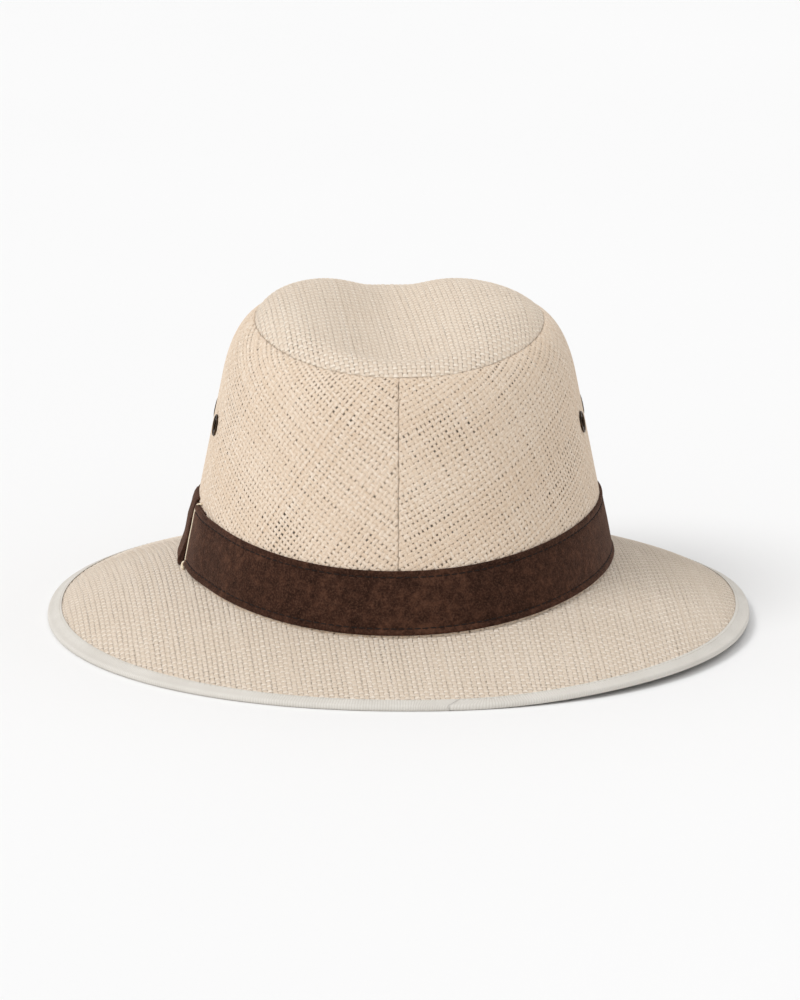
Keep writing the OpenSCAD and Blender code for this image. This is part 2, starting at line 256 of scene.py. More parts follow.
# In a flat weave the warp lies under the raised weft floats and gets a darker tone than the weft.
# This is painted shade between the floats, on top of each yarn's random tone.
TONES_AND_WARP_SHADE = {"round": ((0, 1), (0, 1)), "flat": ((-0.5, 0.1), (0.6, 1.3))}     # tones of warp and weft
CREST = 0.27       # half the length of a yarn's crest, in pitches of the yarns it crosses
# How far a yarn strays from its place, in pitches, and how much its width varies
STRAY_WAVE, STRAY_YARN, STRAY_STEP = 0.05, 0.035, 0.02
SWELL_YARN, SWELL_STEP, SWELL_OPEN = 0.055, 0.06, 0.16
OPEN_FROM, OPEN_MOST = 0.45, 1.2       # how strong the noise is where the weave loosens
FLAT_LOOSE = 0.5   # how loosely a flat weave lies against a round one


def waves(rng, x, y, shortest, longest, count=7):
    """Smooth seeded noise over the flat cloth, about -1 to 1."""
    total = 0
    for _ in range(count):
        size, way = rng.uniform(shortest, longest), rng.uniform(0, np.pi)
        turn = rng.uniform(0, 2 * np.pi)
        total = total + np.sin((x * np.cos(way) + y * np.sin(way)) * 2 * np.pi / size + turn)
    return total / math.sqrt(count)


def yarns(rng, count, steps, pitch, cross_pitch, width, thick, lift, shape, first, phase):
    """Flat positions of one family of yarns, as (count, steps * 2, corners) arrays.

    pitch is between these yarns and cross_pitch between those they cross. first is where both
    start, and phase says whether the first crossing is over or under."""
    i = np.arange(count)[:, None]
    k = np.arange(steps)[None, :]
    crossing = np.repeat(k, 2, 1)
    side = np.tile([-CREST, CREST], steps)[None, :]
    along = first + (crossing + side) * cross_pitch + 0 * i
    sign = np.where((i + crossing + phase) % 2 == 0, 1.0, -1.0)
    wave = rng.uniform(18, 60, (2, count, 1))
    turn = rng.uniform(0, 2 * np.pi, (2, count, 1))
    loose = pitch if shape == "round" else pitch * FLAT_LOOSE
    stray = sum(STRAY_WAVE * loose * np.sin(2 * np.pi * along / wave[n] + turn[n]) for n in (0, 1))
    stray = stray + rng.normal(0, STRAY_YARN * loose, (count, 1))
    stray = stray + rng.normal(0, STRAY_STEP * loose, along.shape)
    swell = rng.normal(0, SWELL_YARN, (count, 1)) + rng.normal(0, SWELL_STEP, along.shape)
    swell = 1 + swell * loose / pitch
    across = first + i * pitch + stray
    open_here = np.clip(waves(rng, along, across, 28, 90) - OPEN_FROM, 0, OPEN_MOST)
    swell = swell - SWELL_OPEN * open_here * loose / pitch
    ring_across = across[..., None] + width / 2 * swell[..., None] * RING_ACROSS
    ring_height = (sign * lift)[..., None] + thick / 2 * RING_HEIGHT[shape]
    ring_along = np.repeat(along[..., None], len(RING_ACROSS), -1)
    return ring_along, ring_across, ring_height


def yarn_mesh(name, along, points, keep, material, rng, tones_and_warp_shade):
    """Joins the kept samples of each yarn into tubes, and closes their ends."""
    count, samples, corners = along.shape
    ids = np.full((count, samples), -1)
    ids[keep] = np.arange(keep.sum())
    a, b = ids[:, :-1], ids[:, 1:]
    joined = (a >= 0) & (b >= 0)
    a, b = a[joined], b[joined]
    c = np.arange(corners)
    d = (c + 1) % corners
    quads = np.stack([a[:, None] * corners + c, a[:, None] * corners + d,
                      b[:, None] * corners + d, b[:, None] * corners + c], -1).reshape(-1, 4)
    before = np.pad(ids, ((0, 0), (1, 0)), constant_values=-1)[:, :-1]
    after = np.pad(ids, ((0, 0), (0, 1)), constant_values=-1)[:, 1:]
    starts, ends = ids[keep & (before < 0)], ids[keep & (after < 0)]
    caps = [starts[:, None] * corners + c[::-1], ends[:, None] * corners + c]
    round_yarn = np.broadcast_to(c / corners, along.shape)
    uv = np.stack([along, round_yarn], -1)[keep]
    shade = np.broadcast_to(rng.uniform(*tones_and_warp_shade, (count, 1, 1)), along.shape)[keep]
    return smooth_mesh(name, points[keep], [quads] + caps, material, uv, shade)


def weave(name, material, place, spread, pitch, width, thick, lift, grain, seed,
          warp_shape="round"):
    """One ply of plain weave in two meshes, the yarns that run along the grain and those across.

    place(x, y, height) turns flat cloth coordinates into points and says which are on the cloth.
    pitch, width and lift hold a value for the warp and one for the weft."""
    rng = np.random.default_rng(seed)
    turn = math.radians(grain)
    pieces = []
    for family, (own, other) in enumerate(((0, 1), (1, 0))):
        count = int(2 * spread / pitch[own]) + 1
        steps = int(2 * spread / pitch[other]) + 1
        shape = (warp_shape, "round")[family]
        along, across, height = yarns(rng, count, steps, pitch[own], pitch[other], width[own],
                                      thick, lift[own], shape, -spread, family)
        x, y = (across, along) if family == 0 else (along, across)
        flat_x = x * math.cos(turn) - y * math.sin(turn)
        flat_y = x * math.sin(turn) + y * math.cos(turn)
        points, on_cloth = place(flat_x, flat_y, height)
        if family == 0:
            along, points, on_cloth = along[..., ::-1], points[..., ::-1, :], on_cloth[..., ::-1]
        kind = ("warp", "weft")[family]
        pieces.append(yarn_mesh(f"{name}_{kind}", along, points, on_cloth.all(-1), material, rng,
                                TONES_AND_WARP_SHADE[warp_shape][family]))
    return pieces


SEAM_TURN = 0.28       # radius of a panel's turned edge
SEAM_HOLD = 0.95       # cloth past the edge that stays up in the seam
SEAM_DIP = 0.3         # how deep the seam's own groove is
SEAM_DROP = 0.45       # how far under the panel its turned edge lies
ALLOWANCE = 5.0        # width of a seam allowance


def fold_under(distance):
    """Where cloth lies past a panel's edge, and how deep: it stays at the seam for a little,
    turns down, and runs back under the panel."""
    over = np.clip(distance - SEAM_TURN - SEAM_HOLD, 0, None)
    shifted = np.minimum(distance, SEAM_TURN) - np.clip(over - SEAM_DROP, 0, None)
    return shifted, SEAM_DIP * smooth(distance / SEAM_TURN) + np.minimum(over, SEAM_DROP)


class Surface:
    """Fast look-up of a surface's points and normals on a fine grid."""

    def __init__(self, surface, t_from, t_to, u_from, u_to, u_count, t_count=1449):
        self.t = np.linspace(t_from, t_to, t_count)
        self.u = np.linspace(u_from, u_to, u_count)
        grid_t, grid_u = np.meshgrid(self.t, self.u, indexing="ij")
        self.points = surface(grid_t, grid_u)
        self.normals = normal(surface, grid_t, grid_u)

    def at(self, t, u, height):
        i = (t - self.t[0]) / (self.t[1] - self.t[0])
        j = (u - self.u[0]) / (self.u[1] - self.u[0])
        i0 = np.clip(np.floor(i).astype(int), 0, len(self.t) - 2)
        j0 = np.clip(np.floor(j).astype(int), 0, len(self.u) - 2)
        a, b = np.clip(i - i0, 0, 1)[..., None], np.clip(j - j0, 0, 1)[..., None]

        def blend(grid):
            low = grid[i0, j0] * (1 - a) + grid[i0 + 1, j0] * a
            high = grid[i0, j0 + 1] * (1 - a) + grid[i0 + 1, j0 + 1] * a
            return low * (1 - b) + high * b

        return blend(self.points) + height[..., None] * blend(self.normals)




def mean_run(rows):
    """Length along the middle of some rows of points, at each point of a row."""
    return np.pad(np.cumsum(np.linalg.norm(np.diff(rows, axis=1), axis=2).mean(0)), (1, 0))


def crown_side_cloth():
    """The crown's side is one flat panel, part of a ring, so its yarns turn round the hat."""
    fan = 0.182                 # the flat panel's angle over the hat's
    middle_u, lowest_u, row_count = 0.45, -0.04, 209
    grid = Surface(wall, FRONT - 181, FRONT + 181, lowest_u, 1.0, row_count)
    turn = np.linspace(-180, 180, 1441)
    ring = wall(FRONT + turn, np.full(turn.shape, middle_u))
    length = np.concatenate([[0], np.cumsum(np.linalg.norm(np.diff(ring, axis=0), axis=1))])
    length -= np.interp(0, turn, length)
    half = (length[-1] - length[0]) / 2
    radius = half / (fan * math.pi)
    us = np.linspace(lowest_u, 1, row_count)
    rows = wall(np.arange(0, 360, 5)[:, None], us[None, :])
    rise = mean_run(rows)
    rise -= np.interp(middle_u, us, rise)
    top, bottom = rise[-1], rise[0]
    holes = [wall(np.array(t), np.array(EYELET_H / wall_rise(t))) for t in EYELETS.values()]
    # How the back seam strays: size, length and start of each wave
    wobbles = ((0.16, 1.7, 0), (0.13, 0.83, 2), (0.1, 4.1, 0))

    def place(x, y, height):
        # x, y is 0, 0 at the middle of the front, and the ring's centre lies above it.
        away = np.hypot(x, y - radius)
        angle = np.arctan2(x, radius - y)
        around = angle * radius
        up = radius - away
        wobble = sum(size * np.sin(up / run + start) for size, run, start in wobbles)
        past_seam = np.abs(around) - (half - SEAM_TURN) - wobble * np.sign(around)
        shifted, deep_side = fold_under(past_seam)
        around_now = np.sign(around) * (half - SEAM_TURN + shifted) + wobble
        past_top = up - (top - SEAM_TURN)
        shifted, deep_top = fold_under(past_top)
        up_now = top - SEAM_TURN + shifted
        on_cloth = (past_seam < ALLOWANCE) & (past_top < ALLOWANCE) & (up > bottom)
        t = FRONT - np.interp(around_now, length, turn)
        points = grid.at(t, np.interp(up_now, rise, us), height - deep_side - deep_top)
        for hole in holes:
            on_cloth &= np.linalg.norm(points - hole, axis=-1) > EYELET_HOLE_R
        return points, on_cloth

    return place, half + 12


def tip_cloth():
    """The tip is one flat oval panel, taken up evenly towards its seam."""
    rs = np.linspace(0, 1, 201)
    rows = tip(np.arange(0, 360, 5)[:, None], rs[None, :])
    run = mean_run(rows)
    mean_r = (TIP_W + TIP_L) / 4
    reach = run[-1] / mean_r          # the flat panel's size over the seam's outline
    grid = Surface(tip, -1, 361, 0.001, 1.0, 201)

    def place(x, y, height):
        c, s = x / (TIP_W / 2), y / (TIP_L / 2)
        size = (np.abs(c) ** TIP_N + np.abs(s) ** TIP_N) ** (1 / TIP_N) + 1e-9
        cos_t = np.sign(c) * (np.abs(c) / size) ** (TIP_N / 2)
        sin_t = np.sign(s) * (np.abs(s) / size) ** (TIP_N / 2)
        t = np.degrees(np.arctan2(sin_t, cos_t)) % 360
        past = (size - reach) * mean_r + SEAM_TURN
        shifted, deep = fold_under(past)
        r = np.interp(shifted + run[-1] - SEAM_TURN, run, rs)
        return grid.at(t, r, height - deep), past < ALLOWANCE

    return place, TIP_L / 2 + 14


def brim_cloth(depth):
    """A ply of the brim, whose middle lies at a depth under the brim's upper face."""
    grid = Surface(brim, -1, 361, -0.03, 1, 121)
    first_w, last_w, halvings = -0.025, 0.998, 22
    in_w, in_l = CROWN_W / 2, CROWN_L / 2
    add_w, add_l = BRIM_W / 2 - EDGE_IN - in_w, BRIM_L / 2 - EDGE_IN - in_l
    n = (CROWN_N + BRIM_N) / 2

    def place(x, y, height):
        # The outline that passes through each point, found by halving
        low, high = np.full(x.shape, -0.3), np.full(x.shape, 1.3)
        for _ in range(halvings):
            w = (low + high) / 2
            size = np.abs(x / (in_w + add_w * w)) ** n + np.abs(y / (in_l + add_l * w)) ** n
            low, high = np.where(size > 1, w, low), np.where(size > 1, high, w)
        w = (low + high) / 2
        c, s = x / (in_w + add_w * w), y / (in_l + add_l * w)
        cos_t, sin_t = np.sign(c) * np.abs(c) ** (n / 2), np.sign(s) * np.abs(s) ** (n / 2)
        t = np.degrees(np.arctan2(sin_t, cos_t)) % 360
        return grid.at(t, w, height - depth), (w > first_w) & (w < last_w)

    return place, BRIM_L / 2


# ---------------------------------------------------------------- swept strips


def sweep(name, sections, material, ring):
    """Skin through sections of equal length: a closed ring, or a strip with closed ends."""
    sections = np.asarray(sections, float)
    n, m = sections.shape[:2]
    a = np.arange(n if ring else n - 1)[:, None] * m
    b = ((np.arange(n if ring else n - 1) + 1) % n)[:, None] * m
    j = np.arange(m)
    k = (j + 1) % m
    quads = np.stack([a + j, b + j, b + k, a + k], -1).reshape(-1, 4)
    faces = [quads]
    if not ring:
        faces += [j[None, :], (n - 1) * m + j[None, ::-1]]
    centre = sections.mean(1)
    along = np.pad(np.cumsum(np.linalg.norm(np.diff(centre, axis=0), axis=1)), (1, 0))
    across = np.pad(np.cumsum(np.linalg.norm(np.diff(sections[0], axis=0), axis=1)), (1, 0))
    uv = np.stack(np.broadcast_arrays(along[:, None], across[None, :]), -1)
    return smooth_mesh(name, sections.reshape(-1, 3), faces, material, uv)


def wall_strip(name, material, turns, rows, low, high, ring, ease=0.4):
    """A strip on the crown's side with rounded edges, as heights above the fold, and with its
    faces at low and high out from the side. ease is how far its edges bulge."""
    rows = np.asarray(rows, float)
    turn = np.radians(np.linspace(-90, 90, 7)[1:-1])
    middle, half = (low + high) / 2, (high - low) / 2
    up = np.concatenate([rows, rows[-1] + ease * np.cos(turn[::-1]),
                         rows[::-1], rows[0] - ease * np.cos(turn)])
    out = np.concatenate([np.full(len(rows), high), middle + half * np.sin(turn[::-1]),
                          np.full(len(rows), low), middle + half * np.sin(turn)])
    sections = [above(wall, angle, up / wall_rise(angle), out) for angle in turns]
    return sweep(name, sections, material, ring)


# A stitch's thickness along its length, over its middle's, and its other proportions
STITCH = np.array([(0.0, 0.25), (0.12, 0.8), (0.35, 1.0), (0.65, 1.0), (0.88, 0.8), (1.0, 0.25)])
STITCH_FACET, STITCH_SINK, LOOK_AHEAD = 60, 1.5, 0.5


def stitches(name, material, path, normals, length, space, radius):
    """A row of stitches along a path: short rounded tubes, their ends sunk into the cloth."""
    path, normals = np.asarray(path), np.asarray(normals)
    run = np.pad(np.cumsum(np.linalg.norm(np.diff(path, axis=0), axis=1)), (1, 0))
    count = int((run[-1] - length) / (length + space))
    ring = np.radians(np.arange(0, 360, STITCH_FACET))
    start = np.arange(count) * (length + space)
    at = start[:, None] + STITCH[:, 0] * length
    centre = np.stack([np.interp(at, run, path[:, n]) for n in range(3)], -1)
    up = unit(np.stack([np.interp(at, run, normals[:, n]) for n in range(3)], -1))
    next_at = np.stack([np.interp(at + LOOK_AHEAD, run, path[:, n]) for n in range(3)], -1)
    side = np.cross(unit(next_at - centre + 1e-9), up)
    sink = (STITCH[:, 1] - 1) * radius * STITCH_SINK
    middle = (centre + up * sink[None, :, None])[:, :, None, :]
    spokes = (side[:, :, None, :] * np.cos(ring)[None, None, :, None]
              + up[:, :, None, :] * np.sin(ring)[None, None, :, None])
    points = middle + radius * STITCH[None, :, 1, None, None] * spokes
    m, rows = len(ring), len(STITCH)
    base = (np.arange(count) * rows * m)[:, None, None]
    a = base + np.arange(rows - 1)[None, :, None] * m
    j = np.arange(m)[None, None, :]
    k = (j + 1) % m
    quads = np.stack(np.broadcast_arrays(a + j, a + k, a + m + k, a + m + j), -1).reshape(-1, 4)
    caps = [base[:, 0] + np.arange(m)[None, ::-1],
            base[:, 0] + (rows - 1) * m + np.arange(m)[None, :]]
    return smooth_mesh(name, points.reshape(-1, 3), [quads] + caps, material)


# ---------------------------------------------------------------- materials


class Nodes:
    """Short way to write a node tree."""

    def __init__(self, name):
        self.material = bpy.data.materials.new(name)
        self.material.use_nodes = True
        self.tree = self.material.node_tree
        self.shader = self.tree.nodes["Principled BSDF"]

    def add(self, kind, **settings):
        node = self.tree.nodes.new(kind)
        for key, value in settings.items():
            if key in node.inputs:
                node.inputs[key].default_value = value
            else:
                setattr(node, key, value)
        return node

    def link(self, output, target):
        self.tree.links.new(output, target)

    def ramp(self, factor, *stops):
        node = self.add("ShaderNodeValToRGB")
        elements = node.color_ramp.elements
        while len(elements) < len(stops):
            elements.new(0.5)
        for element, (position, colour) in zip(elements, stops):
            element.position = position
            element.color = (*colour, 1)
        self.link(factor, node.inputs["Fac"])
        return node.outputs["Color"]

    def noise(self, scale, detail=3, roughness=0.5, vector=None):
        node = self.add("ShaderNodeTexNoise", Scale=scale, Detail=detail, Roughness=roughness)
        self.link(vector or self.place(), node.inputs["Vector"])
        return node.outputs["Fac"]

    def place(self):
        return self.add("ShaderNodeTexCoord").outputs["Object"]

    def cloth(self, x=1, y=1, turn=0):
        """The piece's own cloth coordinates, in millimetres, scaled and turned."""
        uv = self.add("ShaderNodeUVMap", uv_map="cloth")
        node = self.add("ShaderNodeMapping")
        node.inputs["Scale"].default_value = (x, y, 1)
        node.inputs["Rotation"].default_value = (0, 0, turn)
        self.link(uv.outputs["UV"], node.inputs["Vector"])
        return node.outputs["Vector"]

    def blend(self, factor, a, b, mode="MIX"):
        node = self.add("ShaderNodeMix", data_type="RGBA", blend_type=mode)
        for value, socket in ((factor, node.inputs[0]), (a, node.inputs[6]), (b, node.inputs[7])):
            if isinstance(value, tuple):
                socket.default_value = (*value, 1)
            else:
                self.link(value, socket)
        return node.outputs[2]

    def maths(self, operation, a, b):
        node = self.add("ShaderNodeMath", operation=operation)
        for value, socket in ((a, node.inputs[0]), (b, node.inputs[1])):
            if isinstance(value, (int, float)):
                socket.default_value = value
            else:
                self.link(value, socket)
        return node.outputs[0]

    def bump(self, height, distance, strength, after=None):
        node = self.add("ShaderNodeBump", Distance=distance, Strength=strength)
        self.link(height, node.inputs["Height"])
        if after is not None:
            self.link(after, node.inputs["Normal"])
        return node.outputs["Normal"]

    def finish(self, colour, roughness, bump=None, **constants):
        self.link(colour, self.shader.inputs["Base Color"])
        if isinstance(roughness, (int, float)):
            self.shader.inputs["Roughness"].default_value = roughness
        else:
            self.link(roughness, self.shader.inputs["Roughness"])
        if bump is not None:
            self.link(bump, self.shader.inputs["Normal"])
        for key, value in constants.items():
            self.shader.inputs[key.replace("_", " ")].default_value = value
        return self.material


def linear(r, g, b):
    """A colour written as 0 to 255 sRGB, as Blender's linear values."""
    def value(c):
        return ((c / 255 + 0.055) / 1.055) ** 2.4 if c > 10 else c / 255 / 12.92

    return value(r), value(g), value(b)


def straw_material(name, pale, deep, shade):
    """Twisted paper straw: each yarn has its own tone, with fibre streaks along it. On a flat weave
    the warp's tone is darker: painted shade under the weft floats.
    """
    n = Nodes(name)
    tone_and_warp_shade = n.add("ShaderNodeAttribute", attribute_name="tone_and_warp_shade").outputs["Fac"]
    patches = n.noise(22, 3)
    # Tone: each yarn's random tone, darker on a flat weave's warp as painted shade, plus patches
    tone = n.maths("ADD", n.maths("MULTIPLY", tone_and_warp_shade, 0.55), n.maths("MULTIPLY", patches, 0.6))
    base = n.ramp(tone, (0.2, deep), (0.85, pale))
    fibres = n.noise(1, 3, 0.6, n.cloth(0.5, 9))
    marked = n.blend(n.ramp(fibres, (0.3, (0, 0, 0)), (0.75, (1, 1, 1))), shade, base)
    twist = n.add("ShaderNodeTexWave", Scale=0.55, Distortion=1.2, Detail=1)
    n.link(n.cloth(1, 2.4, 0.6), twist.inputs["Vector"])
    normal_out = n.bump(twist.outputs["Fac"], 0.00012, 0.6)
    normal_out = n.bump(fibres, 0.00008, 0.5, normal_out)
    rough = n.ramp(fibres, (0.2, (0.62,) * 3), (0.8, (0.85,) * 3))
    return n.finish(marked, rough, normal_out, Specular_IOR_Level=0.3)


def suede_material():
    """Suede: mottled, with a nap that lies paler in places."""
    n = Nodes("brown_suede")
    mottle = n.noise(260, 5, 0.7)
    cloud = n.noise(34, 3)
    tone = n.maths("ADD", n.maths("MULTIPLY", mottle, 0.7), n.maths("MULTIPLY", cloud, 0.3))
    colour = n.ramp(tone, (0.35, linear(34, 20, 15)), (0.5, linear(54, 34, 26)),
                    (0.66, linear(88, 59, 45)))
    nap = n.noise(1300, 2, 0.7)
    rubbed = n.blend(n.ramp(nap, (0.45, (0, 0, 0)), (0.8, (0.7,) * 3)), colour, linear(98, 70, 56))
    normal_out = n.bump(nap, 0.0004, 0.8)
    normal_out = n.bump(mottle, 0.0006, 0.6, normal_out)
    return n.finish(rubbed, 1.0, normal_out, Specular_IOR_Level=0.05, Sheen_Weight=0.25,
                    Sheen_Roughness=0.4, Sheen_Tint=(0.75, 0.5, 0.4, 1))


def ribbed_material(name, pale, deep, pitch):
    """Ribbed tape: ribs across its length, with a little soil."""
    n = Nodes(name)
    wave = n.add("ShaderNodeTexWave", Scale=1, Distortion=0.6, Detail=1, bands_direction="X")
    wave.inputs["Detail Scale"].default_value = 2
    n.link(n.cloth(0.314 / pitch, 0.1), wave.inputs["Vector"])
    soil = n.noise(60, 4)
    grain = n.noise(1500, 2)
    tone = n.maths("ADD", n.maths("MULTIPLY", soil, 0.6), n.maths("MULTIPLY", grain, 0.4))
    base = n.ramp(tone, (0.3, deep), (0.7, pale))
    marked = n.blend(n.maths("MULTIPLY", wave.outputs["Fac"], 0.25), base, deep, "MULTIPLY")
    normal_out = n.bump(wave.outputs["Fac"], 0.0002, 0.6)
    normal_out = n.bump(grain, 0.00006, 0.5, normal_out)
    return n.finish(marked, 0.85, normal_out, Specular_IOR_Level=0.25, Sheen_Weight=0.05)


def cotton_material(name, pale, deep):
    n = Nodes(name)
    warp = n.add("ShaderNodeTexWave", Scale=1, Distortion=0.4, bands_direction="X")
    weft = n.add("ShaderNodeTexWave", Scale=1, Distortion=0.4, bands_direction="Y")
    for wave in (warp, weft):
        n.link(n.cloth(0.6, 0.6, 0.785), wave.inputs["Vector"])
    cloth = n.maths("MULTIPLY", warp.outputs["Fac"], weft.outputs["Fac"])
    soil = n.noise(40, 3)
    base = n.ramp(soil, (0.35, deep), (0.7, pale))
    marked = n.blend(n.maths("MULTIPLY", cloth, 0.2), base, deep, "MULTIPLY")
    return n.finish(marked, 0.9, n.bump(cloth, 0.00015, 0.7), Specular_IOR_Level=0.2,
                    Sheen_Weight=0.08)


def thread_material(name, colour, dark):
    n = Nodes(name)
    fuzz = n.noise(1800, 3)
    base = n.ramp(fuzz, (0.3, dark), (0.7, colour))
    return n.finish(base, 0.8, n.bump(fuzz, 0.0001, 0.6), Specular_IOR_Level=0.3)


def bronze_material():
    n = Nodes("dark_bronze")
    wear = n.noise(420, 4, 0.6)
    base = n.ramp(wear, (0.35, linear(38, 28, 20)), (0.6, linear(72, 54, 36)),
                  (0.78, linear(128, 98, 62)))
    rough = n.ramp(wear, (0.3, (0.5,) * 3), (0.75, (0.3,) * 3))
    return n.finish(base, rough, n.bump(wear, 0.00005, 0.4), Metallic=0.9)


def steel_material():
    n = Nodes("drawn_steel")
    scratch = n.noise(800, 3)
    base = n.ramp(scratch, (0.3, linear(120, 120, 118)), (0.7, linear(178, 178, 176)))
    return n.finish(base, 0.35, n.bump(scratch, 0.00003, 0.4), Metallic=0.95)


# ---------------------------------------------------------------- pieces

crown_straw = straw_material("crown_straw", linear(247, 236, 222), linear(234, 217, 198),
                             linear(209, 183, 155))
# On the tip and brim the deep colour falls mostly on the warp. It is painted shade between the
# raised weft floats.
tip_straw = straw_material("tip_straw", linear(253, 244, 231), linear(228, 212, 195),
                           linear(214, 195, 173))
brim_straw = straw_material("brim_straw", linear(251, 242, 231), linear(223, 208, 191),
                            linear(209, 191, 170))
suede = suede_material()
binding_tape = ribbed_material("ribbed_binding", linear(224, 220, 213), linear(210, 205, 197),
                               pitch=1.1)
cotton = cotton_material("cotton_tape", linear(232, 225, 208), linear(208, 199, 178))
cream_thread = thread_material("cream_thread", linear(238, 228, 204), linear(206, 190, 158))
pale_thread = thread_material("pale_thread", linear(226, 222, 213), linear(200, 195, 185))
brown_thread = thread_material("brown_thread", linear(34, 21, 15), linear(18, 11, 8))
cream_piping = thread_material("cream_piping", linear(244, 230, 206), linear(218, 198, 168))
sweat_cloth = cotton_material("sweat_cloth", linear(222, 212, 192), linear(196, 184, 160))
bronze = bronze_material()
steel = steel_material()


def woven(node, material, slot, cloth, **settings):
    """A CAD panel's woven twin."""
    place, spread = cloth
    for piece in weave(node, material, place, spread, **settings):
        belongs(piece, slot, node)


woven("crown_side", crown_straw, "crown_straw", crown_side_cloth(), pitch=(1.98, 2.30),
      width=(1.75, 2.01), thick=0.4, lift=(0.08, 0.09), grain=3.4, seed=11)
woven("crown_tip", tip_straw, "crown_straw", tip_cloth(), pitch=(1.98, 2.25),
      width=(1.87, 1.76), thick=0.36, lift=(0.01, 0.19), grain=5, seed=12, warp_shape="flat")
for ply, depth, seed in (("brim_upper", PLY_T / 2, 13), ("brim_lower", PLY_T * 1.5, 14)):
    woven(ply, brim_straw, "brim_straw", brim_cloth(depth), pitch=(1.96, 2.05),
          width=(1.87, 1.56), thick=0.34, lift=(0, 0.2), grain=6, seed=seed, warp_shape="flat")

# ---------------------------------------------------------------- hat band

BAND_START = 191.25         # where the band's outer end lies
BAND_FACET, BAND_FACETS = 3.75, 98
BAND_THIN = 0.15            # how far the band's face lies inside the CAD's before it is shaped
# Up the band, and out from its face: rounded edges, and grooves under the two rows of stitches
BAND_GROOVES = {"low": 2.7, "high": 22.8}
BAND_SHAPE = np.array([(0, 0.15), (0.5, 0.52), (1.3, 0.5), (2.1, 0.15), (2.7, -0.3), (3.3, 0.02),
                       (6, 0.05), (13, 0.1), (19, 0.05), (22.2, 0.02), (22.8, -0.3), (23.4, 0.08),
                       (24.3, 0.3), (25, 0.3), (25.4, 0.05)])
RIPPLE_SEED, RIPPLE = 21, 0.13


def band_lift(t):
    """Height of the band's inner face above the crown: its outer end lies on its inner end."""
    return GAP + (BAND_T + GAP) * (1 - smooth(((t - BAND_START) / BAND_FACET - 2) / 3))


band_turns = np.arange(BAND_START, BAND_START + BAND_FACETS * BAND_FACET + 0.1, BAND_FACET / 3)
band_ripple = RIPPLE * waves(np.random.default_rng(RIPPLE_SEED), band_turns, 0, 9, 40)
band_up, band_out = BAND_SHAPE[:, 0], BAND_SHAPE[:, 1]
up = np.concatenate([BAND_LOW + band_up, BAND_LOW + band_up[::-1]])
sections = []
for angle, ripple in zip(band_turns, band_ripple):
    inner = band_lift(angle)
    face = inner + BAND_T - BAND_THIN + band_out + ripple * np.sin(band_up / BAND_H * np.pi)
    out = np.concatenate([face, np.full(len(BAND_SHAPE), inner)])
    sections.append(above(wall, angle, up / wall_rise(angle), out))
belongs(sweep("hat_band", sections, suede, False), "brown_suede", "hat_band")

inner_turns = band_turns[1:-1]
for label, groove in BAND_GROOVES.items():
    u = (BAND_LOW + groove) / wall_rise(inner_turns)
    path = above(wall, inner_turns, u, band_lift(inner_turns) + BAND_T - 0.22)
    belongs(stitches(f"band_stitches_{label}", brown_thread, path, normal(wall, inner_turns, u),
                     length=2.7, space=0.5, radius=0.24), "brown_suede")

# The keeper's section, up from the fold and out from the crown: down its outer face, up its inner
KEEPER_OUTER = np.array([(27.6, 0.1), (28.0, 0.7), (27.4, 1.5), (26.0, 2.1), (23.5, 2.5), (18, 2.8),
                         (12, 2.95), (6.5, 3.05), (4.6, 3.3), (2.6, 3.9), (0.6, 4.1), (-1.0, 3.7),
                         (-1.6, 2.9)])
KEEPER_INNER = np.array([(-1.0, 2.2), (0.2, 1.5), (1.6, 1.45), (3, 1.4), (6.5, 1.35), (12, 1.35),
                         (18, 1.35), (22, 1.35), (24.6, 1.35), (26.2, 1.2), (26.5, 0.7),
                         (26.5, 0.1)])
KEEPER_FROM, KEEPER_TO, KEEPER_ROWS = 176.3, 188.3, 17
KEEPER_EDGES = (0.45, 0.85, 1)      # size of its section about its spine, from an edge inwards
KEEPER_SEED, KEEPER_RIPPLE = 23, 0.16
keeper_section = np.concatenate([KEEPER_OUTER, KEEPER_INNER])
keeper_spine = np.concatenate([(KEEPER_OUTER + KEEPER_INNER[-1]) / 2,
                               (KEEPER_OUTER[-2::-1] + KEEPER_INNER) / 2])
sections = []
for row, angle in enumerate(np.linspace(KEEPER_FROM, KEEPER_TO, KEEPER_ROWS)):
    edge = min(row, KEEPER_ROWS - 1 - row, len(KEEPER_EDGES) - 1)
    bent = keeper_spine + (keeper_section - keeper_spine) * KEEPER_EDGES[edge]
    outer = bent[:len(KEEPER_OUTER)]
    outer[:, 1] += KEEPER_RIPPLE * waves(np.random.default_rng(KEEPER_SEED), outer[:, 0],
                                         angle * 1.5, 7, 15)
    sections.append(above(wall, angle, bent[:, 0] / wall_rise(angle), bent[:, 1]))
belongs(sweep("band_keeper", sections, suede, False), "brown_suede", "band_keeper")

TUBE_SIDES, TUBE_STEPS = 10, 5
TUBE_END = 0.5              # size of a tube's ends
ASIDE = [0.31, 0.92, 0.24]  # a direction that no tube runs along


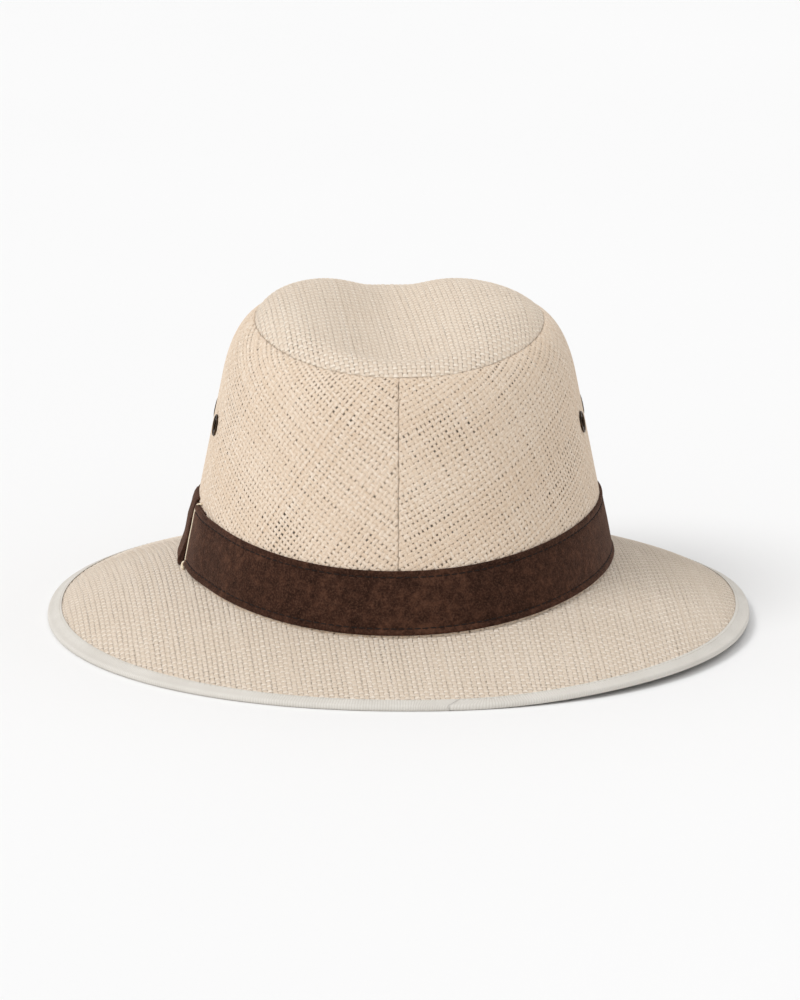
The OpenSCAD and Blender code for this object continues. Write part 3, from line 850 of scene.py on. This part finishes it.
def tube(name, path, radius, material):
    """A round cord along a smooth curve through some points."""
    path = np.asarray(path, float)
    fine = np.linspace(0, len(path) - 1, (len(path) - 1) * TUBE_STEPS + 1)
    i = np.clip(np.floor(fine).astype(int), 0, len(path) - 2)
    s = (fine - i)[:, None]
    padded = np.concatenate([2 * path[:1] - path[1:2], path, 2 * path[-1:] - path[-2:-1]])
    a, b, c, d = (padded[i + n] for n in range(4))
    curve = 0.5 * (2 * b + (c - a) * s + (2 * a - 5 * b + 4 * c - d) * s**2
                   + (3 * b - a - 3 * c + d) * s**3)
    ahead = unit(np.gradient(curve, axis=0))
    side = unit(np.cross(ahead, ASIDE))
    up = np.cross(side, ahead)
    ring = np.radians(np.arange(0, 360, 360 / TUBE_SIDES))
    size = np.ones(len(curve)) * radius
    size[0] = size[-1] = radius * TUBE_END
    spokes = (side[:, None] * np.cos(ring)[None, :, None]
              + up[:, None] * np.sin(ring)[None, :, None])
    points = curve[:, None] + size[:, None, None] * spokes
    return sweep(name, points, material, False)


# Lines of the piping at the band's outer end: angle round the hat, up from the fold, and out
PIPING_LINE = [(192.6, 27.0, 0.5), (191.6, 26.6, 1.2), (190.9, 25.4, 1.9), (190.75, 22, 2.1),
               (190.8, 17, 2.1), (190.7, 12, 2.15), (190.8, 7, 2.1), (190.8, 2.2, 2.1)]
TAIL_LINE = [(191.0, 2.0, 2.2), (190.1, 1.3, 2.5), (189.8, 0.4, 2.7), (190.3, -0.4, 2.7),
             (191.2, -0.7, 2.4)]
for name, line, radius in (("band_piping", PIPING_LINE, 0.4), ("piping_tail", TAIL_LINE, 0.55)):
    path = [above(wall, t, height / wall_rise(t), out) for t, height, out in line]
    belongs(tube(name, path, radius, cream_piping), "cream_piping", "band_piping")

# ---------------------------------------------------------------- brim's edge

TOP_Z = BRIM_TOP_Z + GAP + BINDING_T
# The binding's section, in from the hat's outline and up from its lowest line
BINDING_RING = np.array([
    (BINDING_W, -0.02), (4.8, 0), (3.2, 0), (1.9, 0), (0.9, 0.02), (0.35, 0.3), (0.08, 0.8),
    (0, TOP_Z / 2), (0.08, TOP_Z - 0.8), (0.35, TOP_Z - 0.3), (0.9, TOP_Z), (1.9, TOP_Z + 0.03),
    (3.2, TOP_Z + 0.02), (4.4, TOP_Z - 0.06), (4.8, TOP_Z - 0.08),
    (BINDING_W - 0.25, TOP_Z - 0.16), (BINDING_W, TOP_Z - 0.36),
    (BINDING_W - 0.1, TOP_Z - 0.5), (3.2, TOP_Z - 0.5), (0.9, TOP_Z - 0.5),
    (0.55, 1.4), (0.9, 0.5), (3.2, 0.5), (BINDING_W - 0.1, 0.5), (BINDING_W, 0.3)])
UPPER_CORNERS = slice(9, 15)
BINDING_COUNT = 481
JOIN_AT = 278.2             # where the binding's ends meet, on a diagonal
JOIN_SLANT, JOIN_REACH = 0.38, 8
PUFF_SEED, PUFF = 31, 0.05
sections = []
for angle in np.linspace(JOIN_AT, JOIN_AT + 360, BINDING_COUNT):
    from_join = min(abs(angle - JOIN_AT), abs(angle - JOIN_AT - 360))
    skew = (BINDING_RING[:, 0] - BINDING_W / 2) * JOIN_SLANT * (1 - smooth(from_join / JOIN_REACH))
    sections.append(edge_point(angle + skew, BINDING_RING[:, 0], BINDING_RING[:, 1]))
sections = np.array(sections)
puff = PUFF * waves(np.random.default_rng(PUFF_SEED), np.linspace(0, 900, BINDING_COUNT), 0, 11, 60)
sections[1:-1, UPPER_CORNERS, 2] += puff[1:-1, None]
belongs(sweep("brim_binding", sections, binding_tape, False), "ribbed_binding", "brim_binding")

edge_turns = np.linspace(JOIN_AT, JOIN_AT + 359.5, 721)
for label, z, way in (("upper", TOP_Z - 0.02, 1), ("lower", 0.02, -1)):
    path = edge_point(edge_turns, BINDING_W - 1.1, z)
    facing = np.full(path.shape, (0, 0, 1.0)) * way
    belongs(stitches(f"binding_stitches_{label}", pale_thread, path, facing,
                     length=2.2, space=0.6, radius=0.16), "ribbed_binding")

# ---------------------------------------------------------------- inside the crown

round_turns = np.arange(0, 360, 1.25)
SWEAT_ROWS = [-3, -1.5, 0, 4, 10, 16, 22, 28, 30.5, 31.4, SWEAT_H]
SWEAT_STITCHES = {"low": -1.5, "high": 30.2}
sweat_out = -STRAW_T - GAP              # outer faces, out from the crown
sweat_in = sweat_out - SWEAT_T
belongs(wall_strip("sweatband", sweat_cloth, round_turns, SWEAT_ROWS, sweat_in, sweat_out, True),
        "cotton_tape", "sweatband")
for label, height in SWEAT_STITCHES.items():
    u = height / wall_rise(round_turns)
    path, facing = above(wall, round_turns, u, sweat_in), -normal(wall, round_turns, u)
    belongs(stitches(f"sweatband_stitches_{label}", cream_thread, path, facing,
                     length=2.6, space=0.7, radius=0.2), "cotton_tape")

TAB_HALF, TAB_ROWS = 3.6, [1, 8, 15, 22, 28.9]
tab_out = -STRAW_T - 2 * GAP - SWEAT_T
belongs(wall_strip("sweatband_tab", cotton, np.linspace(BACK - TAB_HALF, BACK + TAB_HALF, 9),
                   TAB_ROWS, tab_out - TAPE_T, tab_out, False, 0.2), "cotton_tape", "sweatband_tab")
TAPE_HALF = 3.2
tape_out = -STRAW_T - GAP
tape_in = tape_out - TAPE_T
tape_rows = np.linspace(SWEAT_H + 0.2, 0.9 * wall_rise(BACK), 14)
belongs(wall_strip("back_seam_tape", cotton, np.linspace(BACK - TAPE_HALF, BACK + TAPE_HALF, 9),
                   tape_rows, tape_in, tape_out, False, 0.2), "cotton_tape", "back_seam_tape")


def tip_tape_row(out):
    """Points across one face of the tip seam's tape, from the side up over the seam."""
    beside = 0.998
    facing = unit(normal(wall, round_turns, beside) + normal(tip, round_turns, beside))
    return [above(wall, round_turns, 0.92, out), above(wall, round_turns, 0.96, out),
            seam_line(round_turns) + out * facing,
            above(tip, round_turns, 0.965, out), above(tip, round_turns, 0.93, out)]


tip_tape = np.stack(tip_tape_row(tape_out) + tip_tape_row(tape_in)[::-1], 1)
belongs(sweep("tip_seam_tape", tip_tape, cotton, True), "cotton_tape", "tip_seam_tape")

# ---------------------------------------------------------------- stage, light and camera

bpy.ops.mesh.primitive_plane_add(size=30, location=(0, 0, 0))
floor = bpy.context.object
floor.name = "floor"
floor_nodes = Nodes("pale_floor")
floor_tone = floor_nodes.ramp(floor_nodes.noise(2, 2), (0.3, (0.885,) * 3), (0.7, (0.895,) * 3))
floor.data.materials.append(floor_nodes.finish(floor_tone, 0.7, Specular_IOR_Level=0.2))

world = bpy.data.worlds.new("studio")
bpy.context.scene.world = world
world.use_nodes = True
sky = world.node_tree.nodes["Background"]
sky.inputs["Color"].default_value = (1.0, 1.0, 1.0, 1)
sky.inputs["Strength"].default_value = 0.8


def sun(name, azimuth, elevation, strength, softness):
    """A soft lamp. Azimuth 0 lights along +Y, and 90 along -X."""
    lamp = bpy.data.lights.new(name, "SUN")
    lamp.energy = strength
    lamp.angle = math.radians(softness)
    thing = bpy.data.objects.new(name, lamp)
    a, e = math.radians(azimuth), math.radians(elevation)
    towards = Vector((-math.sin(a) * math.cos(e), math.cos(a) * math.cos(e), -math.sin(e)))
    thing.rotation_euler = towards.to_track_quat("-Z", "Y").to_euler()
    bpy.context.scene.collection.objects.link(thing)


sun("key", azimuth=-56, elevation=47, strength=1.28, softness=24)

CAMERA_DISTANCE, CAMERA_ELEVATION, CAMERA_ROLL = 3.0, 14.1, 0.37      # metres and degrees
LENS, SENSOR = 260.8, 36
AIM_UP, AIM_RIGHT = 0.0469, 0.0003      # metres, from the centre of the frame
camera_data = bpy.data.cameras.new("camera")
camera_data.lens, camera_data.sensor_width, camera_data.sensor_height = LENS, SENSOR, SENSOR
camera_data.clip_end = 100
camera = bpy.data.objects.new("camera", camera_data)
bpy.context.scene.collection.objects.link(camera)
rise = math.radians(CAMERA_ELEVATION)
camera.location = (AIM_RIGHT, -CAMERA_DISTANCE * math.cos(rise), CAMERA_DISTANCE * math.sin(rise))
aim = Vector((AIM_RIGHT, AIM_UP * math.sin(rise), AIM_UP * math.cos(rise)))
look = (aim - camera.location).to_track_quat("-Z", "Y").to_matrix().to_4x4()
camera.rotation_euler = (look @ Matrix.Rotation(math.radians(CAMERA_ROLL), 4, "Z")).to_euler()
bpy.context.scene.camera = camera
bpy.context.scene.view_settings.view_transform = "Standard"

for node_name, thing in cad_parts.items():
    metal = steel if "wire" in node_name else bronze
    if metal is steel or node_name.startswith(("eyelet", "washer")):
        thing.data.materials.clear()
        thing.data.materials.append(metal)
